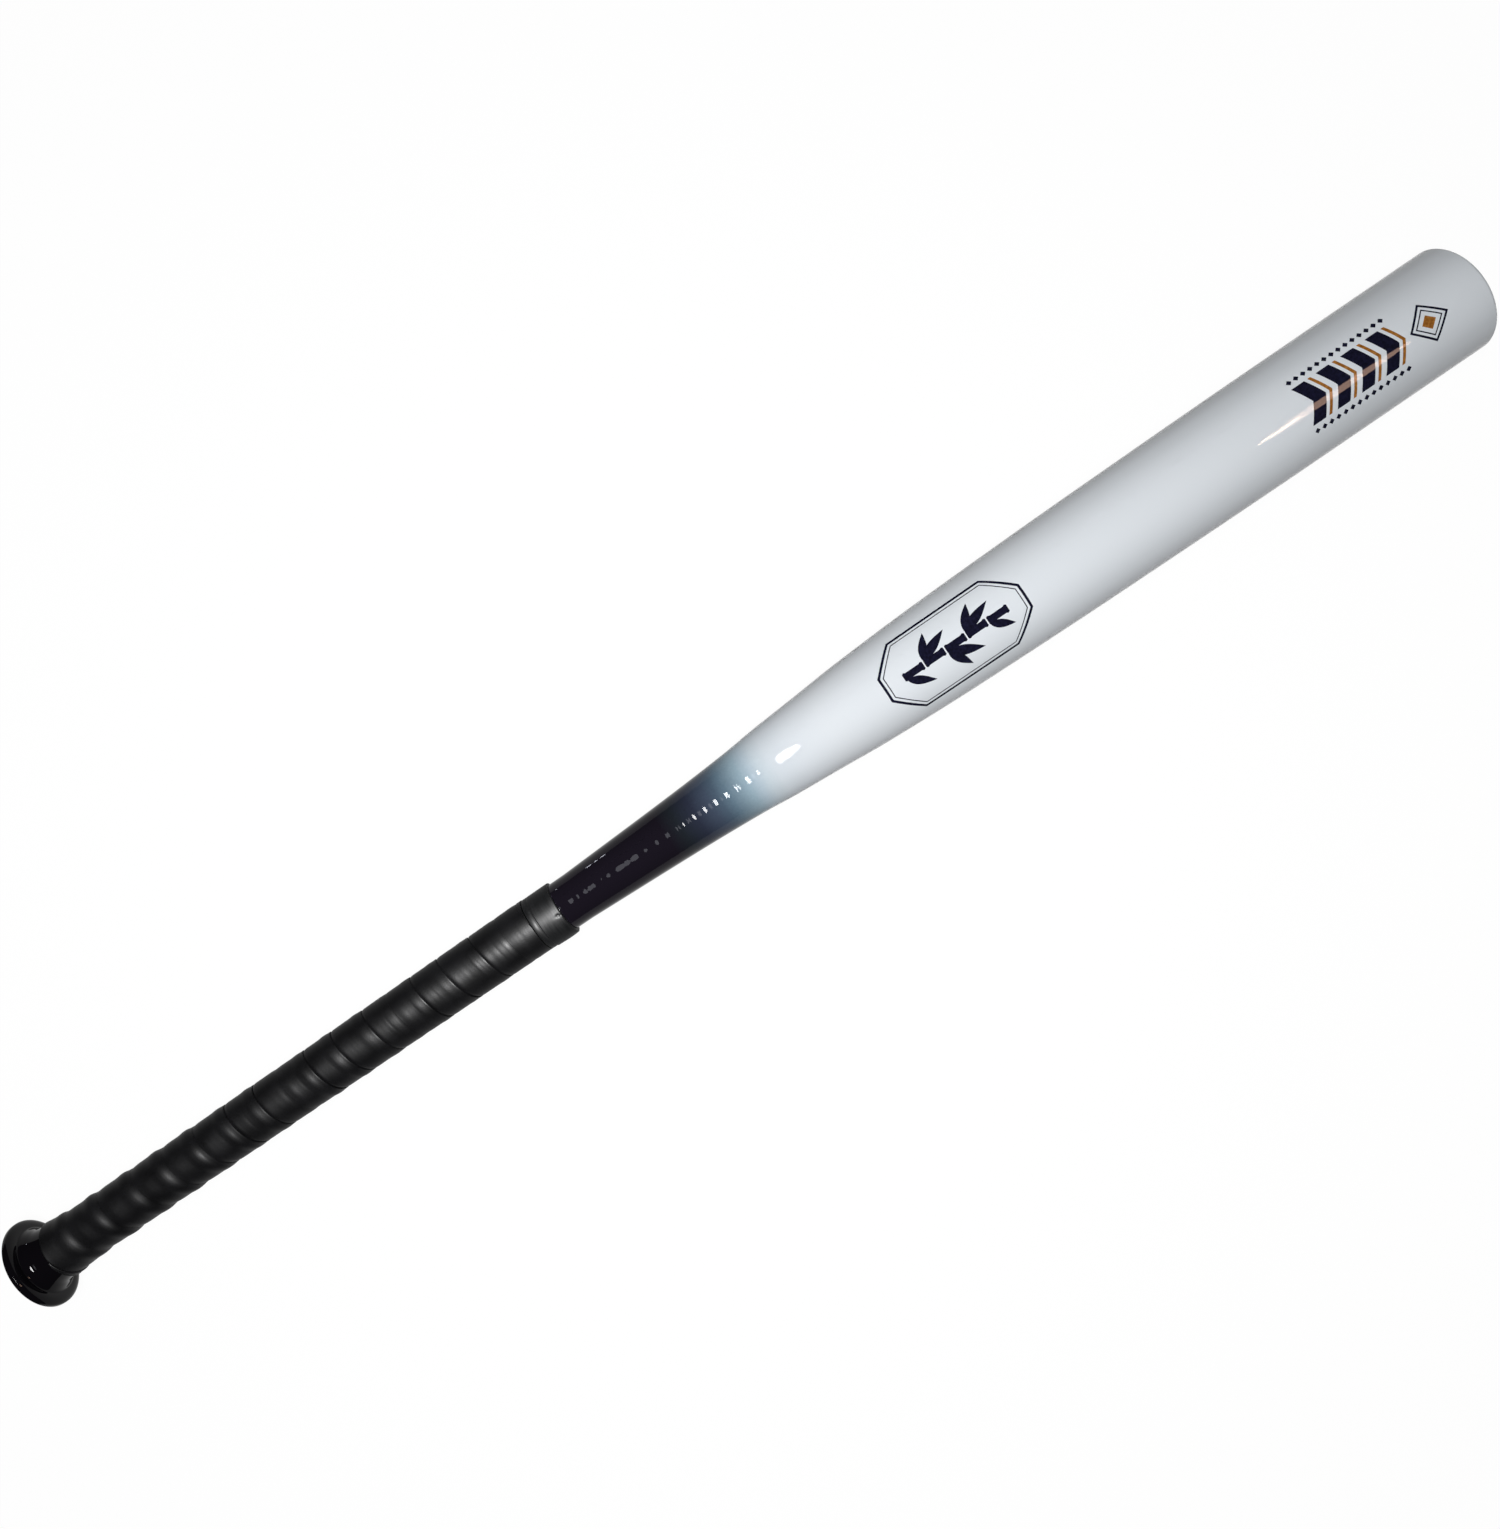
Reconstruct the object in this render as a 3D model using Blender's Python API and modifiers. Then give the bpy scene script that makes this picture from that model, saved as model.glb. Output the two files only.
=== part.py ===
# Bamboo softball bat, lying along +X with its axis on the X axis.
# The butt of the knob is at the origin and the barrel end is at bat_length.
# Every piece is modelled upright along local Z, on an empty that lays the bat down.
# All sizes are in metres.

import math

import bmesh
import bpy
import numpy as np
from mathutils import Matrix, Vector

# Barrel
bat_length = 0.8636
barrel_diameter = 0.05715
full_barrel_length = 0.1036  # stretch at the full diameter, with the rounded end
end_flat_diameter = 0.0400
end_round_length = 0.0040

# Knob
knob_diameter = 0.0469
knob_flat_diameter = 0.0230
knob_rim_height = 0.0022  # from the butt to the widest place
knob_rim_width = 0.0010  # straight edge at the full diameter
knob_back_length = 0.0024
knob_back_depth = 0.0055
neck_end = 0.0420

# Handle and taper
handle_diameter = 0.0245
handle_growth = 0.0018  # how much wider the handle is where the taper starts
slim_handle_end = 0.1200
taper_start = 0.3300
# Points of the taper: share of its length, share of its rise to the barrel
taper_shape = ((0.165, 0.20), (0.28, 0.41), (0.40, 0.69), (0.53, 0.845), (0.75, 0.955))
taper_steps = 15

# Lacquer: a black coat on the handle and knob, a white one on the barrel
coat_thickness = 0.0004
colour_change = 0.4200

# Core: four square billets glued together and turned, each laminated from equal bamboo boards
billet_allowance = 0.0045  # wood around the barrel and past its ends before turning
boards_per_billet = 4
thinnest_edge = 0.0008  # where a board's feathered edge ends
glue_line = 0.0003

# Grip: one leather strip wound from the knob to the finishing band
grip_start = 0.0155
lower_turns = 5
lower_pitch = 0.01945
upper_turns = 12
upper_pitch = 0.01598
turn_gap = 0.0005
strip_foot_thickness = 0.0011  # at the edge nearer the knob
strip_crown_thickness = 0.0016
strip_lip_thickness = 0.0012  # at the edge nearer the barrel
strip_crown_setback = 0.0022
strip_point_width = 0.0025  # width of the strip's cut ends
band_width = 0.0160
band_thickness = 0.0015
band_edge_round = 0.0004

clearance = 0.0003
facets = 24

barrel_radius = barrel_diameter / 2
knob_radius = knob_diameter / 2
handle_radius = handle_diameter / 2
throat_radius = handle_radius + handle_growth / 2
taper_end = bat_length - full_barrel_length
billet_side = barrel_radius + billet_allowance
board_pitch = billet_side / boards_per_billet
half_facet = math.pi / facets
corner_reach = 1 / math.cos(half_facet)  # a facet's flat is tangent to the true circle


def clear_scene():
    for old in list(bpy.data.objects):
        bpy.data.objects.remove(old)


def new_collection(name):
    collection = bpy.data.collections.new(name)
    bpy.context.scene.collection.children.link(collection)
    return collection


def finish(name, colour, roughness):
    material = bpy.data.materials.new(name)
    material.use_nodes = True
    material.diffuse_color = (*colour, 1.0)
    shader = material.node_tree.nodes["Principled BSDF"]
    shader.inputs["Base Color"].default_value = (*colour, 1.0)
    shader.inputs["Roughness"].default_value = roughness
    shader.inputs["Metallic"].default_value = 0.0
    return material


# The bat's outline: points of height along the bat and radius, from butt to end


def elliptic_arc(centre, half_length, half_depth, start, stop, steps):
    angles = np.radians(np.linspace(start, stop, steps + 1))
    return [(centre[0] + half_length * math.cos(a), centre[1] + half_depth * math.sin(a)) for a in angles]


def smooth_rise(points, share):
    # Cubic curve through the points that never turns back between two of them
    x, y = np.array(points).T
    slopes = np.diff(y) / np.diff(x)
    tangents = np.empty(len(x))
    tangents[1:-1] = 2 * slopes[:-1] * slopes[1:] / (slopes[:-1] + slopes[1:])
    tangents[0] = slopes[0]
    tangents[-1] = 0.0
    i = min(int(np.searchsorted(x, share, side="right")) - 1, len(x) - 2)
    width = x[i + 1] - x[i]
    t = (share - x[i]) / width
    rise = y[i] + (y[i + 1] - y[i]) * t * t * (3 - 2 * t)
    lean = tangents[i] * t * (1 - t) ** 2 - tangents[i + 1] * t * t * (1 - t)
    return float(rise + width * lean)


def bat_outline():
    knob_flat_radius = knob_flat_diameter / 2
    end_flat_radius = end_flat_diameter / 2
    back_radius = knob_radius - knob_back_depth
    rim_end = knob_rim_height + knob_rim_width
    back_end = rim_end + knob_back_length
    butt = elliptic_arc((knob_rim_height, knob_flat_radius), knob_rim_height,
                        knob_radius - knob_flat_radius, 180, 90, 4)
    back = elliptic_arc((rim_end, back_radius), knob_back_length, knob_back_depth, 90, 0, 3)
    neck = elliptic_arc((neck_end, back_radius), neck_end - back_end,
                        back_radius - handle_radius, 180, 270, 6)
    shape = ((0.0, 0.0), *taper_shape, (1.0, 1.0))
    taper = []
    for share in np.linspace(0, 1, taper_steps + 1):
        height = taper_start + share * (taper_end - taper_start)
        taper.append((height, throat_radius + smooth_rise(shape, share) * (barrel_radius - throat_radius)))
    end = elliptic_arc((bat_length - end_round_length, end_flat_radius), end_round_length,
                       barrel_radius - end_flat_radius, 90, 0, 5)
    outline = [(0.0, 0.0), *butt, *back, *neck[1:]]
    outline += [(slim_handle_end, handle_radius), *taper, *end, (bat_length, 0.0)]
    return outline


def inset(outline, distance):
    # The outline moved inwards by a constant thickness, its ends kept on the axis
    points = [Vector(p) for p in outline]
    normals = []
    for here, there in zip(points, points[1:]):
        along = (there - here).normalized()
        normals.append(Vector((-along.y, along.x)))
    moved = [(points[0].x + distance, 0.0)]
    for point, before, after in zip(points[1:], normals, normals[1:]):
        mitre = (before + after).normalized()
        inner = point - mitre * (distance / mitre.dot(before))
        moved.append((inner.x, inner.y))
    moved.append((points[-1].x - distance, 0.0))
    return moved


def radius_at(outline, height):
    heights, radii = np.array(outline).T
    return float(np.interp(height, heights, radii))


def below(outline, height):
    return [p for p in outline if p[0] < height] + [(height, radius_at(outline, height))]


def above(outline, height):
    return [(height, radius_at(outline, height))] + [p for p in outline if p[0] > height]


# Makers of objects


def place(piece, collection, axis, turn=0.0):
    collection.objects.link(piece)
    piece.parent = axis
    piece.rotation_euler.z = turn
    return piece


def turned(name, points, collection, axis, material, closed=False, smooth=True):
    # A profile at +X that runs down its outer side, turned about the bat's axis
    mesh = bpy.data.meshes.new(name)
    corners = [(radius * corner_reach, 0.0, height) for height, radius in points]
    edges = [(i, i + 1) for i in range(len(corners) - 1)]
    if closed:
        edges.append((len(corners) - 1, 0))
    mesh.from_pydata(corners, edges, [])
    mesh.materials.append(material)
    piece = place(bpy.data.objects.new(name, mesh), collection, axis, half_facet)
    screw = piece.modifiers.new("Turn", "SCREW")
    screw.axis = "Z"
    screw.angle = math.tau
    screw.steps = facets
    screw.render_steps = facets
    screw.use_merge_vertices = True
    screw.merge_threshold = 0.00001
    screw.use_smooth_shade = smooth
    return piece


def cutter_box(name, low, high, turn, cutters, axis):
    bpy.ops.mesh.primitive_cube_add(size=1)
    box = bpy.context.object
    box.name = name
    centre = (Vector(low) + Vector(high)) / 2
    size = Vector(high) - Vector(low)
    box.data.transform(Matrix.Translation(centre) @ Matrix.Diagonal((*size, 1.0)))
    box.users_collection[0].objects.unlink(box)
    box.display_type = "WIRE"
    box.hide_render = True
    return place(box, cutters, axis, turn)


# Pieces


def lacquer_coats(outline, collection, axis):
    inner = inset(outline, coat_thickness)
    black_edge = colour_change - clearance / 2
    white_edge = colour_change + clearance / 2
    black = below(inner, black_edge) + below(outline, black_edge)[::-1]
    white = above(outline, white_edge)[::-1] + above(inner, white_edge)
    turned("handle_lacquer", black, collection, axis, finish("black lacquer", (0.012, 0.011, 0.014), 0.18))
    turned("barrel_lacquer", white, collection, axis, finish("white lacquer", (0.80, 0.82, 0.84), 0.15))


def board_stretches(core, inner_face):
    # Where along the bat the core is thick enough to reach into a board
    limit = inner_face + thinnest_edge
    stretches = []
    start = None
    for (height, radius), (next_height, next_radius) in zip(core, core[1:]):
        if (radius > limit) == (next_radius > limit):
            continue
        crossing = height + (next_height - height) * (limit - radius) / (next_radius - radius)
        if next_radius > limit:
            start = crossing
        else:
            stretches.append((start, crossing))
    return stretches


def board_name(side, layer, start, stop):
    # A board that the slim handle interrupts is left as one piece in the knob and one in the barrel
    name = f"{side}_board_{layer + 1}"
    if stop < taper_start:
        return name + "_knob"
    if start > neck_end:
        return name + "_barrel"
    return name


def bamboo_boards(outline, collection, cutters, axis):
    # Each board is the turned core cut down to a sawn box; each quarter is turned a right angle further
    core = inset(outline, coat_thickness + clearance)
    profile = core[::-1]
    tones = ((0.60, 0.40, 0.19), (0.54, 0.35, 0.16), (0.64, 0.44, 0.22), (0.57, 0.38, 0.18))
    bamboo = [finish(f"bamboo board {i + 1}", tone, 0.55) for i, tone in enumerate(tones)]
    for quarter, side in enumerate(("lower_left", "upper_left", "upper_right", "lower_right")):
        for layer in range(boards_per_billet):
            inner_face = glue_line / 2 + layer * board_pitch
            outer_face = inner_face + board_pitch - glue_line
            for start, stop in board_stretches(core, inner_face):
                foot = -billet_allowance if start < knob_rim_height else start
                head = bat_length + billet_allowance if stop > bat_length - end_round_length else stop
                name = board_name(side, layer, start, stop)
                board = turned(name, profile, collection, axis, bamboo[layer % len(bamboo)], smooth=False)
                saw = board.modifiers.new("Saw", "BOOLEAN")
                saw.operation = "INTERSECT"
                saw.solver = "EXACT"
                saw.object = cutter_box(f"saw_{name}", (inner_face, glue_line / 2, foot),
                                        (outer_face, billet_side, head), quarter * math.pi / 2, cutters, axis)


def seam_height(turns):
    # Height of the strip's seam after a number of turns from the knob
    lower = min(turns, lower_turns)
    return grip_start + lower * lower_pitch + (turns - lower) * upper_pitch


def strip_rings(outline):
    # Sections of the strip: its foot is nearer the knob, its lip nearer the barrel.
    # The first and last turns are cut to a point, so that both ends of the grip are square.
    total_turns = lower_turns + upper_turns
    grip_end = seam_height(total_turns) - turn_gap
    rings = []
    for step in range((total_turns + 1) * facets):
        turns = (step + 0.5) / facets
        foot = seam_height(max(turns, 1) - 1)
        lip = min(seam_height(turns) - turn_gap, grip_end)
        if lip - foot < strip_point_width:
            continue
        crown = lip - min(strip_crown_setback, (lip - foot) / 2)
        angle = math.pi + turns * math.tau
        section = ((foot, strip_foot_thickness), (foot, 0.0), (lip, 0.0),
                   (lip, strip_lip_thickness), (crown, strip_crown_thickness))
        ring = []
        for height, thickness in section:
            radius = (radius_at(outline, height) + clearance + thickness) * corner_reach
            ring.append((radius * math.cos(angle), radius * math.sin(angle), height))
        rings.append(ring)
    return rings


def least_gap(rings):
    # Shortest way from the two foot corners of a turn to the lip edges of the turn before it
    rings = np.array(rings)
    foot_corners = rings[:, 0:2]
    lip_corners = rings[:, 2:4]
    shortest = math.inf
    for i in range(facets + 1, len(rings)):
        for j in range(i - facets - 1, i - facets + 1):
            for start, end in zip(lip_corners[j], lip_corners[j + 1]):
                for point in foot_corners[i]:
                    along = end - start
                    share = np.clip(np.dot(point - start, along) / np.dot(along, along), 0, 1)
                    nearest = start + share * (end - start)
                    shortest = min(shortest, float(np.linalg.norm(nearest - point)))
    return shortest


def grip_wrap(outline, collection, axis):
    rings = strip_rings(outline)
    bm = bmesh.new()
    loops = [[bm.verts.new(corner) for corner in ring] for ring in rings]
    for ring, next_ring in zip(loops, loops[1:]):
        for i in range(len(ring)):
            j = (i + 1) % len(ring)
            bm.faces.new((ring[i], ring[j], next_ring[j], next_ring[i]))
    bm.faces.new(loops[0][::-1])
    bm.faces.new(loops[-1])
    bmesh.ops.recalc_face_normals(bm, faces=bm.faces)
    mesh = bpy.data.meshes.new("grip_wrap")
    bm.to_mesh(mesh)
    bm.free()
    mesh.materials.append(finish("black grip leather", (0.022, 0.022, 0.024), 0.5))
    mesh.shade_smooth()
    mesh.set_sharp_from_angle(angle=math.radians(40))
    place(bpy.data.objects.new("grip_wrap", mesh), collection, axis)
    turns = (len(rings) - 1) / facets
    print(f"grip wrap: {turns:.1f} turns, least gap to itself {least_gap(rings) * 1000:.3f} mm")


def finishing_band(outline, collection, axis):
    start = seam_height(lower_turns + upper_turns)
    stop = start + band_width
    start_inner = radius_at(outline, start) + clearance
    stop_inner = radius_at(outline, stop) + clearance
    start_outer = start_inner + band_thickness
    stop_outer = stop_inner + band_thickness
    section = [(stop, stop_inner),
               (stop, stop_outer - band_edge_round),
               (stop - band_edge_round, stop_outer),
               (start + band_edge_round, start_outer),
               (start, start_outer - band_edge_round),
               (start, start_inner)]
    turned("finishing_band", section, collection, axis,
           finish("black finishing tape", (0.020, 0.020, 0.022), 0.4), closed=True)


def build_bat():
    clear_scene()
    collection = new_collection("bamboo_softball_bat")
    cutters = new_collection("cutters")
    axis = bpy.data.objects.new("bat_axis", None)
    axis.rotation_euler.y = math.pi / 2
    collection.objects.link(axis)
    outline = bat_outline()
    bamboo_boards(outline, collection, cutters, axis)
    lacquer_coats(outline, collection, axis)
    grip_wrap(outline, collection, axis)
    finishing_band(outline, collection, axis)


build_bat()
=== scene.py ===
import math

import bmesh
import bpy
import numpy as np
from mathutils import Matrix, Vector, noise


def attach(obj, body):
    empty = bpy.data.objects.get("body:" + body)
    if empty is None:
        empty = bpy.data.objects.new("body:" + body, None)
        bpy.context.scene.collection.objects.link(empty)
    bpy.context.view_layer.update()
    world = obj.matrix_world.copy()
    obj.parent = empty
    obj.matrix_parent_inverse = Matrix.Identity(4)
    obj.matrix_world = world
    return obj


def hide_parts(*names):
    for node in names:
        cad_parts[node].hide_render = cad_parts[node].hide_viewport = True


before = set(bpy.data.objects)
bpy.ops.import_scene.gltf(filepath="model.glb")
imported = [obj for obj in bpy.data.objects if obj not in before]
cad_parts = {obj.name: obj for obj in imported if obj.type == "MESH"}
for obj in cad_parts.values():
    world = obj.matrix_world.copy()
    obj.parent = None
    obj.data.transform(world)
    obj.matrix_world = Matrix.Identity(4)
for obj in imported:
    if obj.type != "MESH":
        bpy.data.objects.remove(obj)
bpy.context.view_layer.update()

mm = 0.001
print("frame loaded:", len(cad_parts), "nodes")


# Small helpers

def linearColour(hexCode):
    # sRGB hex to the linear colour that shaders take
    parts = [int(hexCode[i:i + 2], 16) / 255 for i in (0, 2, 4)]
    return (*[p / 12.92 if p <= 0.04045 else ((p + 0.055) / 1.055) ** 2.4 for p in parts], 1.0)


def addNode(tree, kind, values={}, links={}, **settings):
    node = tree.nodes.new(kind)
    for name, value in settings.items():
        setattr(node, name, value)
    for socket, value in values.items():
        node.inputs[socket].default_value = value
    for socket, source in links.items():
        tree.links.new(source, node.inputs[socket])
    return node


def setStops(ramp, stops):
    # stops: (position, hex colour)
    elements = ramp.color_ramp.elements
    while len(elements) < len(stops):
        elements.new(1.0)
    for element, (position, hexCode) in zip(elements, stops):
        element.position = position
        element.color = linearColour(hexCode)


def newMaterial(name, **surface):
    # surface: Principled sockets that are the same all over
    material = bpy.data.materials.new(name)
    material.use_nodes = True
    tree = material.node_tree
    shader = tree.nodes["Principled BSDF"]
    for socket, value in surface.items():
        shader.inputs[socket.replace("_", " ")].default_value = value
    place = addNode(tree, "ShaderNodeTexCoord")
    return material, tree, shader, place.outputs["Object"]


def smoothThrough(points, at, endSlope=None):
    # Cubic curve through the points that never turns back between two of them
    x, y = np.array(points, float).T
    at = np.asarray(at, float)
    slopes = np.diff(y) / np.diff(x)
    before, after = slopes[:-1], slopes[1:]
    rising = before * after > 0
    tangents = np.zeros(len(x))
    tangents[1:-1][rising] = 2 * before[rising] * after[rising] / (before + after)[rising]
    tangents[0] = slopes[0]
    tangents[-1] = slopes[-1] if endSlope is None else endSlope
    i = np.clip(np.searchsorted(x, at, side="right") - 1, 0, len(x) - 2)
    width = x[i + 1] - x[i]
    t = np.clip((at - x[i]) / width, 0, 1)
    return (y[i] + (y[i + 1] - y[i]) * t * t * (3 - 2 * t)
            + width * (tangents[i] * t * (1 - t) ** 2 - tangents[i + 1] * t * t * (1 - t)))


def finishPiece(name, mesh, material, nodeName=None):
    mesh.materials.append(material)
    piece = bpy.data.objects.new(name, mesh)
    bpy.context.scene.collection.objects.link(piece)
    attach(piece, "root")
    if nodeName:
        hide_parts(nodeName)


def meshFrom(bm, name):
    bmesh.ops.recalc_face_normals(bm, faces=bm.faces)
    mesh = bpy.data.meshes.new(name)
    bm.to_mesh(mesh)
    bm.free()
    mesh.shade_smooth()
    mesh.set_sharp_from_angle(angle=math.radians(35))
    return mesh


def turnedMesh(name, profile, segments):
    # profile: (x, radius) in mm, turned about the X axis; a radius of 0 is one point on the axis
    bm = bmesh.new()
    rings = []
    for x, radius in profile:
        if radius == 0:
            rings.append([bm.verts.new((x * mm, 0, 0))])
            continue
        turn = [math.tau * i / segments for i in range(segments)]
        rings.append([bm.verts.new((x * mm, -radius * mm * math.sin(a), radius * mm * math.cos(a)))
                      for a in turn])
    for ring, nextRing in zip(rings, rings[1:]):
        for i in range(segments):
            j = (i + 1) % segments
            corners = [ring[i % len(ring)], ring[j % len(ring)],
                       nextRing[j % len(nextRing)], nextRing[i % len(nextRing)]]
            bm.faces.new(list(dict.fromkeys(corners)))
    return meshFrom(bm, name)


# The bat's shape, in mm from the butt of the knob: the sizes of the solids, plus a roll and a
# swell that they leave out

batShape = {
    "length": 863.6,
    "barrelDiameter": 57.15,
    "fullBarrelLength": 103.6,
    "endFlatDiameter": 40.0,
    "endRoundLength": 4.0,
    "knobDiameter": 46.9,
    "knobFlatDiameter": 23.0,
    "knobRimHeight": 2.2,
    "knobRimWidth": 1.0,
    "knobBackLength": 2.4,
    "knobBackDepth": 5.5,
    # a soft roll on the knob's back: its top, its reach to each side and its height
    "rollAt": 6.4,
    "rollReach": (2.4, 4.0),
    "rollHeight": 0.5,
    "neckEnd": 42.0,
    "handleDiameter": 24.5,
    "handleGrowth": 1.8,
    "slimHandleEnd": 120.0,
    "taperStart": 330.0,
    # share of the taper's length, and of its growth in radius
    "taperShape": ((0, 0), (0.165, 0.20), (0.28, 0.41), (0.40, 0.69), (0.53, 0.845), (0.75, 0.955),
                   (1, 1)),
    # a swell that the lathe left in the taper: its top, its reach to each side and its height
    "swellAt": 451.0,
    "swellReach": (22.0, 34.0),
    "swellHeight": 0.50,
}


def swelling(x, top, reach, height):
    # Smooth hump over x, with its own reach before and after its top
    x = np.asarray(x, float)
    away = (x - top) / np.where(x < top, *reach)
    return height * (1 + np.cos(math.pi * np.clip(away, -1, 1))) / 2


def batOutline():
    s = batShape

    def arc(centreX, centreR, halfLength, halfDepth, start, stop, steps):
        return [(centreX + halfLength * math.cos(a), centreR + halfDepth * math.sin(a))
                for a in np.radians(np.linspace(start, stop, steps + 1))]

    knobRadius, barrelRadius = s["knobDiameter"] / 2, s["barrelDiameter"] / 2
    handleRadius = s["handleDiameter"] / 2
    knobFlat, endFlat = s["knobFlatDiameter"] / 2, s["endFlatDiameter"] / 2
    backRadius = knobRadius - s["knobBackDepth"]
    rimEnd = s["knobRimHeight"] + s["knobRimWidth"]
    backEnd = rimEnd + s["knobBackLength"]
    throatRadius = handleRadius + s["handleGrowth"] / 2
    taperEnd, roundStart = s["length"] - s["fullBarrelLength"], s["length"] - s["endRoundLength"]
    butt = arc(s["knobRimHeight"], knobFlat, s["knobRimHeight"], knobRadius - knobFlat, 180, 90, 20)
    back = arc(rimEnd, backRadius, s["knobBackLength"], s["knobBackDepth"], 90, 0, 14)
    neck = arc(s["neckEnd"], backRadius, s["neckEnd"] - backEnd, backRadius - handleRadius,
               180, 270, 40)
    roll = s["rollAt"], s["rollReach"], s["rollHeight"]
    back, neck = ([(x, r + float(swelling(x, *roll))) for x, r in part] for part in (back, neck))
    share = np.linspace(0, 1, 170)
    rise = smoothThrough(s["taperShape"], share, endSlope=0)
    taperX = s["taperStart"] + share * (taperEnd - s["taperStart"])
    swell = swelling(taperX, s["swellAt"], s["swellReach"], s["swellHeight"])
    taper = zip(taperX, throatRadius + rise * (barrelRadius - throatRadius) + swell)
    end = arc(roundStart, endFlat, s["endRoundLength"], barrelRadius - endFlat, 90, 0, 18)
    slimEnd, taperStart = s["slimHandleEnd"], s["taperStart"]
    slim = [(x, handleRadius) for x in np.linspace(s["neckEnd"], slimEnd, 9)[1:]]
    growing = [(x, handleRadius + (x - slimEnd) / (taperStart - slimEnd) * (throatRadius - handleRadius))
               for x in np.linspace(slimEnd, taperStart, 22)[1:-1]]
    barrel = [(x, barrelRadius) for x in np.linspace(taperEnd, roundStart, 14)[1:-1]]
    return [(0.0, 0.0), *butt, *back, *neck[1:], *slim, *growing, *taper, *barrel, *end,
            (s["length"], 0.0)]


def inset(outline, distance):
    # The outline moved inwards by a constant thickness, its ends kept on the axis
    points = [Vector(p) for p in outline]
    normals = []
    for here, there in zip(points, points[1:]):
        along = (there - here).normalized()
        normals.append(Vector((-along.y, along.x)))
    moved = [(points[0].x + distance, 0.0)]
    for point, before, after in zip(points[1:], normals, normals[1:]):
        mitre = (before + after).normalized()
        inner = point - mitre * (distance / mitre.dot(before))
        moved.append((inner.x, inner.y))
    moved.append((points[-1].x - distance, 0.0))
    return moved


outline = batOutline()
outlineX, outlineR = np.array(outline[1:-1]).T
order = np.argsort(outlineX, kind="stable")


def radiusAt(x):
    return np.interp(x, outlineX[order], outlineR[order])


# Lacquer coats

lacquer = {
    "setback": 0.055,        # the film lies this far inside the full size
    "thickness": 0.32,
    "colourChange": 420.0,   # where the black coat ends under the fade
    "lap": 0.4,              # the joint of the coats slants by this, so that no wood shows through
    "jointGap": 0.01,
    "segments": 120,
    "fadeFrom": 384.0,
    "fadeTo": 480.0,
    "knobShadeFrom": 60.0,       # painted shade: the black is darkest up to here, on the knob, where the light falls off
    "knobShadeTo": 320.0,
    "fade": ((0.0, "1a161f"), (0.083, "20252b"), (0.187, "2c3141"), (0.288, "424d5f"),
             (0.34, "4d5e6f"), (0.39, "637989"), (0.442, "7f95a3"), (0.493, "9ab1be"),
             (0.544, "b7c8d4"), (0.595, "cdd9e1"), (0.66, "dbe3ea"), (0.80, "e4eaf0"),
             (1.0, "e8edf2")),
    "sprayGrain": 1.1,       # mm, droplets along the edge of the sprayed black
    "sprayReach": 2.6,       # mm that they scatter
    "driftSize": 28.0,       # mm, the slow waver of that edge
    "driftReach": 3.0,
    "turningRidges": 6.4,    # mm between the lathe's ridges under the film
    "firstRidge": 1.2,
    # from and to in mm, and the share or the depth of the ridges at both
    "ridgesStart": (372.0, 394.0, 0.12, 1.0),
    "ridgesSanded": (437.0, 452.0, 9.0, 0.3),
    "orangePeel": 2.2,       # mm between the soft bumps of a sprayed film
    "peelDepth": 1.3,
    "bumpDepth": 0.006,      # mm, what a ridge or bump with a depth of 1 rises
}


def ridgeRange(tree, x, limits):
    start, stop, atStart, atStop = limits
    return addNode(tree, "ShaderNodeMapRange",
                   {"From Min": start * mm, "From Max": stop * mm, "To Min": atStart, "To Max": atStop},
                   {"Value": x}, interpolation_type="SMOOTHSTEP").outputs["Result"]


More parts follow.
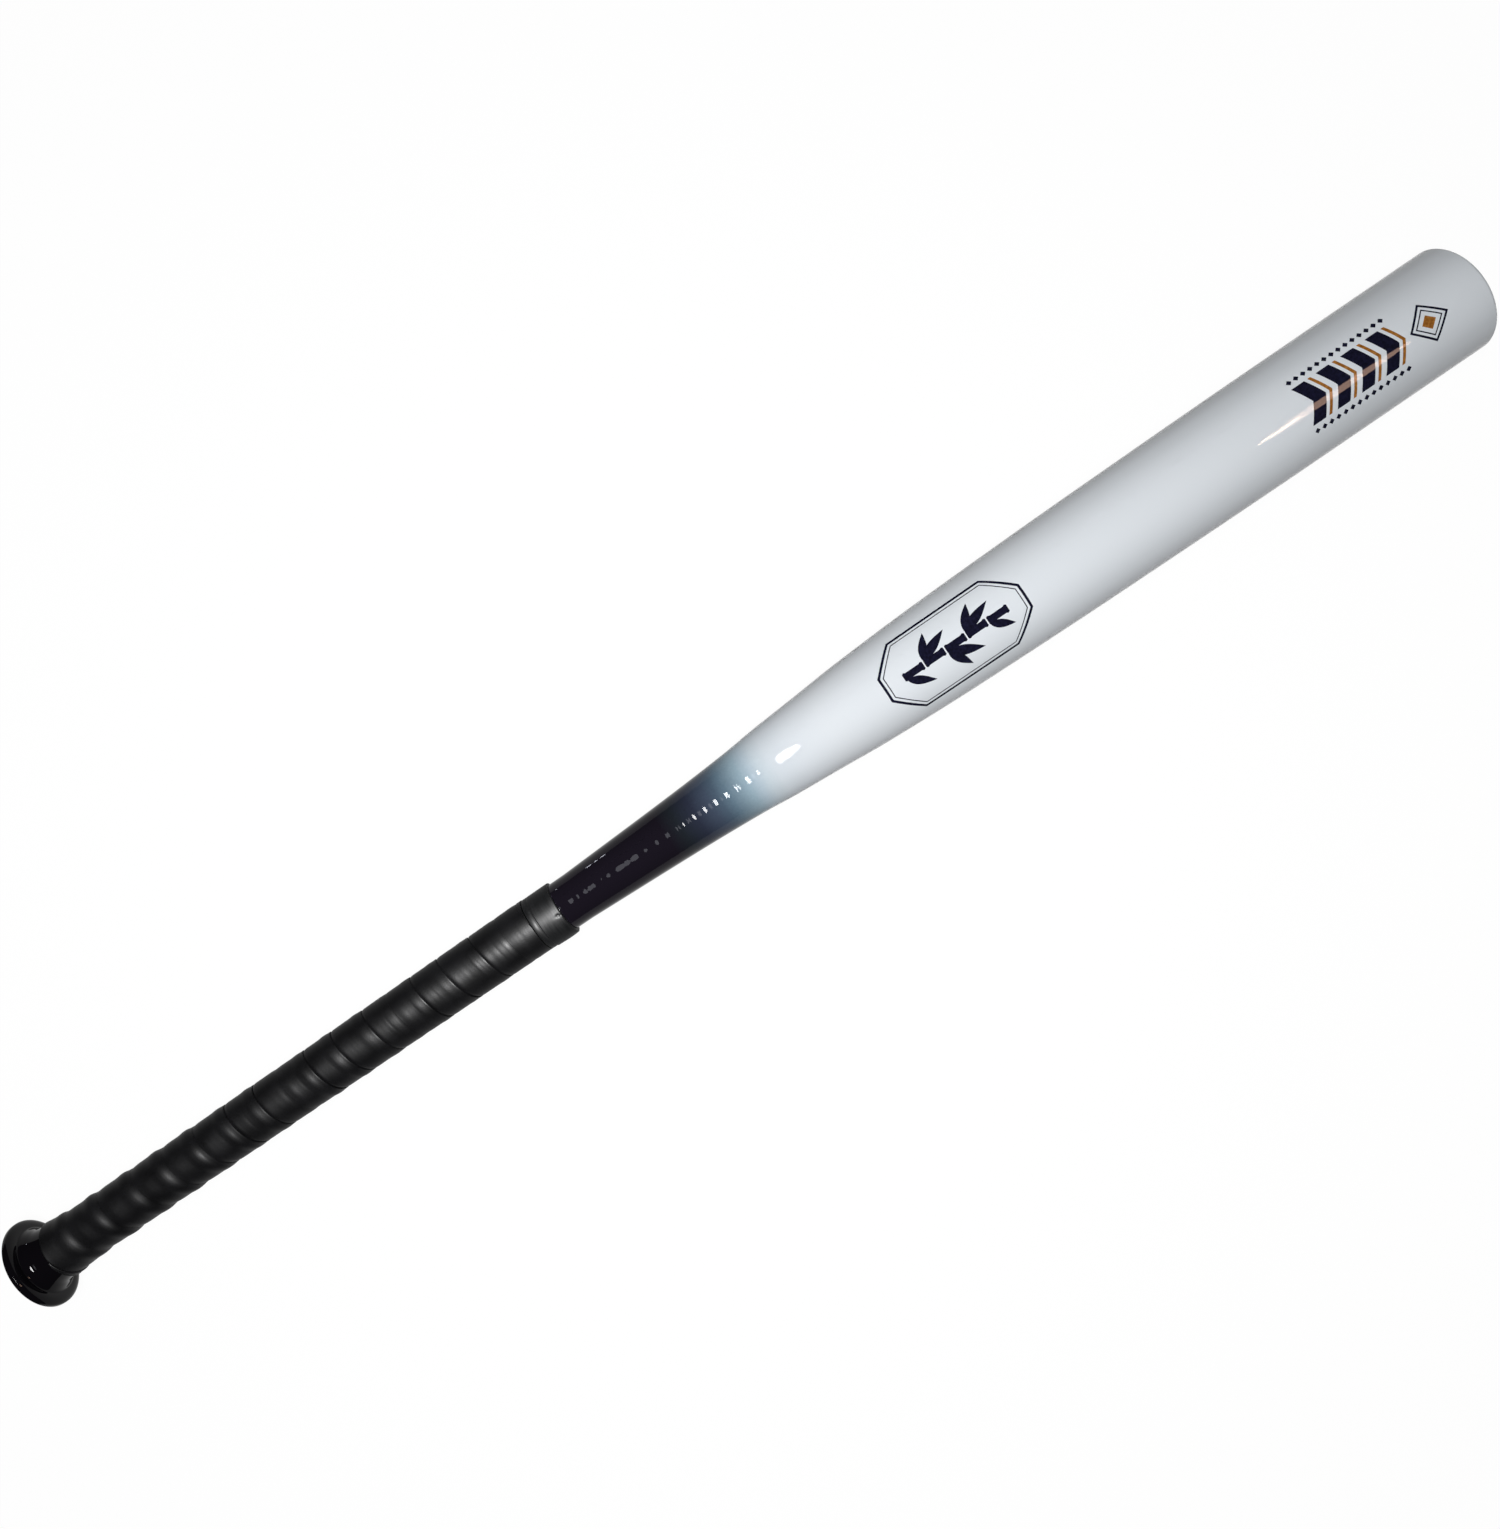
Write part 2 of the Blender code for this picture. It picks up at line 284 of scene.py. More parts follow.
def lacquerMaterial(name):
    # Sprayed polyurethane lacquer over turned wood: deep gloss, a soft edge where the black was misted
    # over the white, faint lathe ridges that break a highlight into beads, painted shade darkening the knob
    material, tree, shader, place = newMaterial(name, Roughness=0.01, IOR=1.5, Specular_IOR_Level=0.10)
    film = lacquer
    x = addNode(tree, "ShaderNodeSeparateXYZ", links={"Vector": place}).outputs["X"]
    spray = addNode(tree, "ShaderNodeTexNoise", {"Scale": 1 / (film["sprayGrain"] * mm), "Detail": 3.0},
                    {"Vector": place})
    drift = addNode(tree, "ShaderNodeTexNoise", {"Scale": 1 / (film["driftSize"] * mm), "Detail": 1.0},
                    {"Vector": place})
    # Both noises scatter the edge evenly to either side
    sprayShift = addNode(tree, "ShaderNodeMath",
                         {1: film["sprayReach"] * mm, 2: -film["sprayReach"] / 2 * mm},
                         {0: spray.outputs["Fac"]}, operation="MULTIPLY_ADD")
    driftShift = addNode(tree, "ShaderNodeMath", {1: film["driftReach"] * mm},
                         {0: drift.outputs["Fac"], 2: sprayShift.outputs[0]}, operation="MULTIPLY_ADD")
    spread = addNode(tree, "ShaderNodeMath", {1: -film["driftReach"] / 2 * mm}, {0: driftShift.outputs[0]},
                     operation="ADD")
    shifted = addNode(tree, "ShaderNodeMath", {}, {0: x, 1: spread.outputs[0]}, operation="ADD")
    share = addNode(tree, "ShaderNodeMapRange",
                    {"From Min": film["fadeFrom"] * mm, "From Max": film["fadeTo"] * mm},
                    {"Value": shifted.outputs[0]})
    fade = addNode(tree, "ShaderNodeValToRGB", {}, {"Fac": share.outputs["Result"]})
    setStops(fade, film["fade"])
    # Painted shade: the black is mixed towards a darker colour near the knob, where the light falls off
    knobShade = addNode(tree, "ShaderNodeMapRange",
                   {"From Min": film["knobShadeFrom"] * mm, "From Max": film["knobShadeTo"] * mm}, {"Value": x})
    coat = addNode(tree, "ShaderNodeMix", {"A": linearColour("0c0a0e")},
                   {"Factor": knobShade.outputs["Result"], "B": fade.outputs["Color"]}, data_type="RGBA")
    tree.links.new(coat.outputs["Result"], shader.inputs["Base Color"])

    turnsPerMetre = math.tau / (film["turningRidges"] * mm)
    phase = addNode(tree, "ShaderNodeMath",
                    {1: turnsPerMetre, 2: -turnsPerMetre * film["firstRidge"] * mm}, {0: x},
                    operation="MULTIPLY_ADD")
    wave = addNode(tree, "ShaderNodeMath", {}, {0: phase.outputs[0]}, operation="SINE")
    # The ridges were left where the taper starts and sanded away on the barrel
    depth = addNode(tree, "ShaderNodeMath", {}, {0: ridgeRange(tree, x, film["ridgesStart"]),
                                                 1: ridgeRange(tree, x, film["ridgesSanded"])},
                    operation="MULTIPLY")
    ridges = addNode(tree, "ShaderNodeMath", {}, {0: wave.outputs[0], 1: depth.outputs[0]},
                     operation="MULTIPLY")
    peel = addNode(tree, "ShaderNodeTexNoise", {"Scale": 1 / (film["orangePeel"] * mm), "Detail": 1.0},
                   {"Vector": place})
    relief = addNode(tree, "ShaderNodeMath", {1: film["peelDepth"]},
                     {0: peel.outputs["Fac"], 2: ridges.outputs[0]}, operation="MULTIPLY_ADD")
    bump = addNode(tree, "ShaderNodeBump", {"Strength": 1.0, "Distance": film["bumpDepth"] * mm},
                   {"Height": relief.outputs[0]})
    tree.links.new(bump.outputs["Normal"], shader.inputs["Normal"])
    return material


def cutAt(points, x, keep):
    # The points of an outline that keep says, and its point at x; both ends, where x turns back, are
    # left out of the curve
    xs, radii = np.array(points[40:-20]).T
    return [p for p in points if keep(p[0])], (x, float(np.interp(x, xs, radii)))


def lacquerCoats():
    outer = inset(outline, lacquer["setback"])
    inner = inset(outline, lacquer["setback"] + lacquer["thickness"])
    change, lap, halfGap = lacquer["colourChange"], lacquer["lap"], lacquer["jointGap"] / 2

    stop = change - halfGap
    kept, edge = cutAt(outer, stop, lambda x: x < stop)
    keptInner, edgeInner = cutAt(inner, stop + lap, lambda x: x < stop + lap)
    profile = kept + [edge, edgeInner] + keptInner[::-1]
    finishPiece("handleLacquer", turnedMesh("handleLacquer", profile, lacquer["segments"]),
                lacquerMaterial("black polyurethane lacquer"), "handle_lacquer")

    start = change + halfGap
    kept, edge = cutAt(outer, start, lambda x: x > start)
    keptInner, edgeInner = cutAt(inner, start + lap, lambda x: x > start + lap)
    profile = kept[::-1] + [edge, edgeInner] + keptInner
    finishPiece("barrelLacquer", turnedMesh("barrelLacquer", profile, lacquer["segments"]),
                lacquerMaterial("white polyurethane lacquer"), "barrel_lacquer")


lacquerCoats()
print("lacquer coats turned")


# Grip: one padded leather strip, each turn's barrel-side edge lying over the next turn

grip = {
    # where the strip's edge crosses the top of the handle, turn by turn
    "seams": (15.8, 33.2, 51.6, 72.0, 90.3, 109.3, 128.2, 145.0, 159.0, 176.1, 192.5,
              211.4, 225.4, 240.4, 256.9, 276.4, 291.0, 304.45),
    # how square each turn's edge is: 1 a crisp step, 0 pressed round
    "crispness": (0.2, 0.0, 0.1, 0.0, 0.15, 0.3, 1.0, 0.9, 0.0, 1.0, 0.9, 0.8, 0.0, 1.0, 1.0, 1.0,
                  0.0, 0.5),
    # how deep it lies under the strip's face: 1 as drawn below, 0 level with it
    "sinking": (1.0, 1.0, 1.0, 1.0, 1.0, 1.0, 1.0, 1.0, 0.25, 1.0, 1.0, 1.0, 0.2, 1.0, 1.0, 1.0,
                0.35, 0.8),
    # how full the padding is before that edge, and how unevenly
    "fullness": (1.0, 0.9, 1.2, 0.9, 1.1, 1.1, 1.0, 0.9, 0.0, 0.9, 0.8, 0.7, 0.1, 0.5, 0.4, 0.4,
                 0.0, 0.3),
    "unevenness": 0.5,
    "stepsPerTurn": 96,
    "overlap": 3.0,
    "overlapStarts": 0.4,    # turns over which the overlap comes in, at both ends of the strip
    "contactGap": 0.02,
    "usualWidth": 17.5,      # a narrower turn has its edges squeezed
    "face": 1.42,            # height over the handle of the strip's flat middle
    # heights by distance from the strip's barrel-side edge, for a pressed and for a crisp seam
    "pressedEdge": ((0, 1.10), (0.9, 1.15), (2.1, 1.35), (3.6, 1.68), (5.0, 1.81), (6.6, 1.72),
                    (8.4, 1.52), (10.2, 1.42)),
    "crispEdge": ((0, 1.42), (0.12, 1.47), (1.1, 1.50), (2.1, 1.58), (3.3, 1.73), (4.5, 1.78),
                  (6.2, 1.60), (8.0, 1.42)),
    # and by distance from the edge that the turn before lies on
    "pressedFoot": ((0.05, 1.07), (0.8, 1.10), (2.0, 1.20), (3.4, 1.32), (5.0, 1.42)),
    "crispFoot": ((0.05, 0.98), (0.35, 1.02), (0.9, 1.24), (1.4, 1.36), (2.4, 1.42)),
    "pointWidth": 0.3,       # the strip's ends stop where they get narrower
    "girth": 82.0,           # once round the grip
    "slack": (9.0, 14.0, 0.10),         # mm along the bat, mm round it and depth of the soft slack
    "lines": (1.9, 60.0, 0.012, 0.03),  # the same for the stretch lines, and how much deeper they get
    "linesDeepen": (60.0, 300.0),       # from and to
    # turn, mm before its edge, depth (less than 0: a bulge) and width in mm, reach either way in turns
    "creases": ((9.0, 13.9, -0.22, 4.4, 0.14), (16.0, 3.2, 0.035, 0.9, 0.12),
                (16.0, 6.4, 0.035, 0.9, 0.10), (15.0, 3.4, 0.035, 0.9, 0.10),
                (15.0, 5.6, 0.035, 1.0, 0.10), (14.0, 9.5, 0.05, 1.2, 0.09),
                (13.0, 5.5, 0.06, 1.0, 0.10), (12.0, 5.2, 0.05, 1.2, 0.12),
                (13.0, 11.5, -0.12, 4.0, 0.12), (11.5, 6.0, 0.09, 1.1, 0.14),
                (9.0, 8.0, 0.05, 1.4, 0.10), (7.0, 9.0, 0.06, 1.4, 0.12),
                (13.6, 6.0, 0.09, 1.0, 0.12), (10.4, 5.0, 0.08, 1.1, 0.15),
                (4.5, 8.0, 0.06, 1.5, 0.15)),
}


def between(pressedPoints, crispPoints, share):
    return [(x0 + (x1 - x0) * share, h0 + (h1 - h0) * share)
            for (x0, h0), (x1, h1) in zip(pressedPoints, crispPoints)]


def sunk(points, share):
    # Heights under the strip's face brought nearer to it; the few above it stay
    return [(d, h if h > grip["face"] else grip["face"] + (h - grip["face"]) * share) for d, h in points]


def seamValue(key, turns):
    # One of the lists above, between two seams
    return float(np.interp(turns, range(len(grip["seams"])), grip[key]))


def stripSection(turns, seamAt):
    # Closed section of the strip at one angle: (x, height over the handle), upper side then under side
    lastTurn = len(grip["seams"]) - 1
    start, stop = grip["seams"][0], grip["seams"][-1]
    lip = float(seamAt(turns)) if turns < lastTurn else stop
    foot = float(seamAt(turns - 1)) if turns > 1 else start
    width = lip - foot
    if width < grip["pointWidth"]:
        return None
    squeeze = min(1.0, width / grip["usualWidth"])
    edge = between(grip["pressedEdge"], grip["crispEdge"], seamValue("crispness", turns))
    rise = between(grip["pressedFoot"], grip["crispFoot"], seamValue("crispness", turns - 1))
    edge = sunk(edge, seamValue("sinking", turns))
    rise = sunk(rise, seamValue("sinking", turns - 1))
    face, under, starts = grip["face"], grip["contactGap"], grip["overlapStarts"]
    # Shares of the overlap: under the turn before, and over the next one
    covered = float(np.clip((turns - 1.0) / starts, 0, 1))
    riding = float(np.clip(turns / starts, 0, 1) * np.clip((lastTurn + 0.1 - turns) / starts, 0, 1))
    tuck, over = grip["overlap"] * squeeze * covered, grip["overlap"] * squeeze * riding
    valley = rise[0][1] * covered + (face - 0.3) * (1 - covered)

    top = [(foot - tuck, 0.30 if tuck > 0 else valley - 0.25)]
    if tuck > 0:
        top += [(foot - tuck * 0.66, 0.48), (foot - tuck * 0.33, 0.70)]
    top += [(foot + d * squeeze, h * covered + min(face, valley + d) * (1 - covered)) for d, h in rise]
    full = seamValue("fullness", turns)
    full *= 1 + grip["unevenness"] * noise.noise(Vector((turns * 3.1, 4.0, 0.0)))
    top += [(lip - d * squeeze, face + (h - face) * riding * (full if h > face and d > 1 else 1))
            for d, h in edge[::-1]]
    lift = (edge[0][1] - 0.06 - under) * riding
    bottom = [(lip, under + lift), (lip - over * 0.5, under + lift * 0.68),
              (lip - over, under + lift * 0.36), (lip - over * 1.3 - 0.3 * squeeze, under),
              ((lip + foot) / 2, under), (foot - tuck * 0.5, under), (foot - tuck, under)]
    return smoothSection(top), bottom


def smoothSection(points):
    # Evens out a section's upper side to a fixed number of points, closer together at both edges
    xs = np.array([p[0] for p in points])
    hs = np.array([p[1] for p in points])
    keep = np.concatenate(([True], np.diff(xs) > 0.01))
    xs, hs = xs[keep], hs[keep]
    share = np.linspace(0, 1, 48)
    share = share - 0.12 * np.sin(math.tau * share) / math.tau
    at = xs[0] + share * (xs[-1] - xs[0])
    return list(zip(at, smoothThrough(list(zip(xs, hs)), at)))


def pressed(x, turns, lip, span):
    # Slack, stretch lines along the strip and single creases, in mm over or under the plain section
    arc = turns * grip["girth"]
    deepenFrom, deepenTo = grip["linesDeepen"]
    toTop = np.clip((x - deepenFrom) / (deepenTo - deepenFrom), 0, 1)
    along, around, depth = grip["slack"]
    slack = noise.noise(Vector((x / along, arc / around, turns * 0.31))) * depth
    along, around, depth, deeper = grip["lines"]
    lines = noise.noise(Vector(((lip - x) / along, arc / around, 7.0))) * (depth + deeper * toTop)
    creased = 0.0
    for turn, before, depth, width, reach in grip["creases"]:
        away = abs(turns - turn) / reach
        if away < 1:
            creased += depth * (1 - away * away) ** 2 * math.exp(-(((lip - x) - before) / (width / 2)) ** 2)
    return (slack + lines - creased) * span


def woundMesh(name, rings, joined=False):
    # rings: angle from the top towards -Y, and the closed section (x, radius) in mm there
    count, total = len(rings[0][1]), len(rings)
    corners = [(x * mm, -r * mm * math.sin(angle), r * mm * math.cos(angle))
               for angle, ring in rings for x, r in ring]
    faces = []
    for k in range(total if joined else total - 1):
        for i in range(count):
            j, after = (i + 1) % count, (k + 1) % total
            faces.append((k * count + i, k * count + j, after * count + j, after * count + i))
    if not joined:
        faces.append(tuple(range(count))[::-1])
        faces.append(tuple((total - 1) * count + i for i in range(count)))
    mesh = bpy.data.meshes.new(name)
    mesh.from_pydata(corners, [], faces)
    bm = bmesh.new()
    bm.from_mesh(mesh)
    bmesh.ops.recalc_face_normals(bm, faces=bm.faces)
    bm.to_mesh(mesh)
    bm.free()
    mesh.shade_smooth()
    mesh.set_sharp_from_angle(angle=math.radians(50))
    return mesh


def gripWrap():
    seamPoints = list(enumerate(grip["seams"]))
    lastTurn = len(seamPoints) - 1
    rings = []
    for step in range((lastTurn + 1) * grip["stepsPerTurn"]):
        turns = (step + 0.5) / grip["stepsPerTurn"]
        section = stripSection(turns, lambda t: smoothThrough(seamPoints, t))
        if section is None:
            continue
        upper, lower = section
        first, lip = upper[0][0], upper[-1][0]
        ring = []
        for x, height in upper:
            span = float(np.clip(min(lip - x, x - first) / 1.2, 0, 1))
            ring.append((x, float(radiusAt(x)) + height + pressed(x, turns, lip, span)))
        ring += [(x, float(radiusAt(x)) + height) for x, height in lower]
        rings.append((math.tau * turns, ring))
    return woundMesh("gripWrap", rings)


def gripLeather():
    # Padded polyurethane grip leather, calendered: a satin face with a fine pebble, in soft clouds of a
    # little more and a little less sheen
    material, tree, shader, place = newMaterial("black polyurethane grip leather", IOR=1.5,
                                                Specular_IOR_Level=0.05)
    cloud = addNode(tree, "ShaderNodeTexNoise",
                    {"Scale": 1 / (14 * mm), "Detail": 4.0, "Roughness": 0.6}, {"Vector": place})
    tone = addNode(tree, "ShaderNodeValToRGB", {}, {"Fac": cloud.outputs["Fac"]})
    setStops(tone, ((0.35, "08080a"), (0.7, "0f0f12")))
    tree.links.new(tone.outputs["Color"], shader.inputs["Base Color"])
    rough = addNode(tree, "ShaderNodeMapRange",
                    {"From Min": 0.3, "From Max": 0.7, "To Min": 0.39, "To Max": 0.46},
                    {"Value": cloud.outputs["Fac"]})
    tree.links.new(rough.outputs["Result"], shader.inputs["Roughness"])
    # Real pebbles are 0.3 mm across; drawn at 0.7 mm, the least that shows
    pebble = addNode(tree, "ShaderNodeTexVoronoi", {"Scale": 1 / (0.7 * mm)}, {"Vector": place},
                     feature="SMOOTH_F1")
    bump = addNode(tree, "ShaderNodeBump", {"Strength": 0.5, "Distance": 0.04 * mm},
                   {"Height": pebble.outputs["Distance"]})
    tree.links.new(bump.outputs["Normal"], shader.inputs["Normal"])
    return material


finishPiece("gripWrap", gripWrap(), gripLeather(), "grip_wrap")
print("grip wound")


# Finishing band: two laps of tape over the end of the strip

band = {
    "start": 304.7,
    "secondLap": 308.0,      # where the upper lap's edge lies
    "stop": 320.45,
    "underHeight": 1.46,
    "upperHeight": 1.50,     # on average: the laps are pulled thinner on one side
    "lean": 0.36,
    "edgeRound": 0.35,
    # where the end of the tape was pressed in: mm along, degrees from the top, mm deep; and its reach
    "dent": (318.5, 8.5, 0.55),
    "dentReach": (0.75, 3.2),
    "wrinkle": 0.05,
    "steps": 240,
}


def bandSection(angle):
    # Closed section at one angle: (x, height over the handle)
    start, lap, stop, r = band["start"], band["secondLap"], band["stop"], band["edgeRound"]
    upper = band["upperHeight"] + band["lean"] * math.sin(angle)
    under = min(band["underHeight"], upper - 0.02)
    thick = band["lean"] * (1 + math.sin(angle)) / 2
    underLap = [(start, 0.03), (start, under - r), (start + r * 0.3, under - r * 0.3),
                (start + r, under), (start + 1.7, under + 0.03), (lap - 0.6, under),
                (lap - 0.3, under - 0.16), (lap - 0.05, under - 0.22)]
    upperLap = [(lap, upper - 0.12), (lap + 0.12, upper - 0.02), (lap + 0.7, upper),
                (lap + 2.2, upper + 0.02), (lap + 4.2, upper + 0.01 + thick * 0.3),
                (lap + 6.5, upper + thick * 0.5), (stop - 3.6, upper + thick * 0.5),
                (stop - 2.6, upper + thick * 0.4), (stop - 1.9, upper + thick * 0.2),
                (stop - 1.2, upper), (stop - r - thick * 0.3, upper - 0.03),
                (stop - r * 0.3, upper - r * 0.5 - thick * 0.8),
                (stop, upper - r * 1.3 - thick), (stop, 0.03)]
    return underLap + upperLap


def finishingBand():
    dentX, dentAt, dentDepth = band["dent"]
    dentAlong, dentAround = band["dentReach"]
    rings = []
    for step in range(band["steps"]):
        angle = math.tau * step / band["steps"]
        away = (math.degrees(angle) - dentAt + 180) % 360 - 180
        ring = []
        for x, height in bandSection(angle):
            wrinkle = noise.noise(Vector((x / 2.1, angle * 3.0, 2.0))) * band["wrinkle"]
            dent = dentDepth * math.exp(-((x - dentX) / dentAlong) ** 2 - (away / dentAround) ** 2)
            ring.append((x, float(radiusAt(x)) + height + (wrinkle if height > 0.3 else 0.0)
                         - (dent if height > 1 else 0.0)))
        rings.append((angle, ring))
    return woundMesh("finishingBand", rings, joined=True)


def tapeMaterial():
    # Stretch vinyl tape: satin, with fine lines round the handle where it was pulled tight
    material, tree, shader, place = newMaterial("black stretch vinyl tape", IOR=1.5,
                                                Specular_IOR_Level=0.06)
    pull = addNode(tree, "ShaderNodeMapping", {"Scale": (1.0, 0.06, 0.06)}, {"Vector": place})
    lines = addNode(tree, "ShaderNodeTexNoise", {"Scale": 1 / (0.9 * mm), "Detail": 2.0},
                    {"Vector": pull.outputs[0]})
    tone = addNode(tree, "ShaderNodeValToRGB", {}, {"Fac": lines.outputs["Fac"]})
    setStops(tone, ((0.3, "0f1012"), (0.75, "17181a")))
    tree.links.new(tone.outputs["Color"], shader.inputs["Base Color"])
    rough = addNode(tree, "ShaderNodeMapRange",
                    {"From Min": 0.3, "From Max": 0.7, "To Min": 0.42, "To Max": 0.52},
                    {"Value": lines.outputs["Fac"]})
    tree.links.new(rough.outputs["Result"], shader.inputs["Roughness"])
    bump = addNode(tree, "ShaderNodeBump", {"Strength": 0.6, "Distance": 0.05 * mm},
                   {"Height": lines.outputs["Fac"]})
    tree.links.new(bump.outputs["Normal"], shader.inputs["Normal"])
    return material


finishPiece("finishingBand", finishingBand(), tapeMaterial(), "finishing_band")
print("finishing band wrapped")


# Printed ornament under the clear film: a bamboo sprig in a frame, a row of chevrons, a diamond

ornament = {
    "filmHeight": 0.028,     # mm over the coat
    "filmThickness": 0.030,
    "cuts": (3.0, 1.0),      # mm between cuts along and across, so that a flat shape follows the barrel
    "frameCentre": (553.0, 1.6),
    "frameSize": (82.0, 41.0),
    "frameCorner": 14.0,
    "cornerLoss": 0.6,       # what the corner loses with each mm inwards
    "frameLines": ((0.0, 1.3), (2.5, 3.0)),  # from and to, inwards from the frame's edge
    "stalkHalfWidth": 1.8,
    # joints of the stalk: start of the first from the frame's centre, spacing, number, knuckle height
    "joints": (-30.0, 12.2, 5, 0.5),
    # one joint: mm from its start, and 1 where a knuckle stands out
    "jointShape": ((0.0, 0), (0.9, 1), (1.9, 0), (9.6, 0), (10.6, 1), (11.5, 0)),
    # leaves: mm from the frame's centre, side of the stalk, length, width, degrees away from it
    "leaves": ((-17.6, -1, 18, 5.0, 24), (-17.6, -1, 14, 4.4, 58), (-5.4, 1, 19, 5.2, 24),
               (-5.4, 1, 14.5, 4.6, 56), (6.8, -1, 18.5, 5.0, 22), (6.8, -1, 14.5, 4.6, 55),
               (19.0, 1, 13, 4.2, 30), (-29.0, 1, 15, 4.4, 32)),
    "chevronStart": 754.5,
    "chevronPitch": 14.2,
    "chevronCount": 4,
    "chevronCentre": 2.4,
    "chevronHalfHeight": 10.5,
    "chevronStroke": 7.4,
    "chevronLean": 5.2,
    "chevronLine": (9.3, 1.7),   # where the bronze line after each chevron starts, and its width; its bronze is a painted warm reflection
    "lozengeSize": 3.0,
    "lozengePitch": 4.1,
    "lozengeGap": 3.6,       # from the chevrons to the middle of the row
    "badgeCentre": (827.0, 2.4),
    "badgeSize": (22.0, 21.0),
    "badgeLines": ((1.0, 0.86), (0.70, 0.62)),  # from and to, in shares of the size
    "badgeHeart": 0.36,
}


def octagon(centre, size, corner):
    (cx, cy), (w, h) = centre, (size[0] / 2, size[1] / 2)
    return [(cx - w + corner, cy - h), (cx + w - corner, cy - h),
            (cx + w, cy - h + corner), (cx + w, cy + h - corner),
            (cx + w - corner, cy + h), (cx - w + corner, cy + h),
            (cx - w, cy + h - corner), (cx - w, cy - h + corner)]


def ringBetween(outer, inner):
    count = len(outer)
    return [[outer[i], outer[(i + 1) % count], inner[(i + 1) % count], inner[i]] for i in range(count)]


def leaf(x, y, length, width, degrees):
    # Long pointed leaf that starts at (x, y)
    a = math.radians(degrees)
    side = [(length * t, width / 2 * math.sin(math.pi * t ** 0.75)) for t in np.linspace(0, 1, 15)]
    shape = side + [(u, -v) for u, v in side[-2:0:-1]]
    return [(x + u * math.cos(a) - v * math.sin(a), y + u * math.sin(a) + v * math.cos(a))
            for u, v in shape]


def printedPatch(name, polygons, material):
    # polygons: (x, arc) in mm, arc counted round the barrel from its top towards -Y
    bm = bmesh.new()
    for polygon in polygons:
        bm.faces.new([bm.verts.new((x, arc, 0)) for x, arc in polygon])
    bmesh.ops.remove_doubles(bm, verts=bm.verts, dist=0.001)
    for axis, spacing in enumerate(ornament["cuts"]):
        low, high = min(v.co[axis] for v in bm.verts), max(v.co[axis] for v in bm.verts)
        across = Vector((axis == 0, axis == 1, 0))
        for cut in np.arange(low + spacing / 2, high, spacing):
            bmesh.ops.bisect_plane(bm, geom=bm.verts[:] + bm.edges[:] + bm.faces[:], dist=0.0001,
                                   plane_co=across * cut, plane_no=across)
    under = list(bm.verts)
    raised = bmesh.ops.extrude_face_region(bm, geom=bm.faces[:], use_keep_orig=True)["geom"]
    top = [v for v in raised if isinstance(v, bmesh.types.BMVert)]
    filmTop = ornament["filmHeight"]
    for verts, height in ((under, filmTop - ornament["filmThickness"]), (top, filmTop)):
        for vert in verts:
            x, arc = vert.co.x, vert.co.y
            base = float(radiusAt(x)) - lacquer["setback"]
            radius = (base + height) * mm
            vert.co = (x * mm, -radius * math.sin(arc / base), radius * math.cos(arc / base))
    finishPiece(name, meshFrom(bm, name), material)


def inkMaterial(name, light, dark):
    # Screen-printed ink under clear lacquer: as glossy as the coat, thin enough to be a little uneven
    material, tree, shader, place = newMaterial(name, Roughness=0.02, IOR=1.5, Specular_IOR_Level=0.10)
    mottle = addNode(tree, "ShaderNodeTexNoise", {"Scale": 1 / (1.4 * mm), "Detail": 3.0},
                     {"Vector": place})
    tone = addNode(tree, "ShaderNodeValToRGB", {}, {"Fac": mottle.outputs["Fac"]})
    setStops(tone, ((0.35, dark), (0.7, light)))
    tree.links.new(tone.outputs["Color"], shader.inputs["Base Color"])
    return material


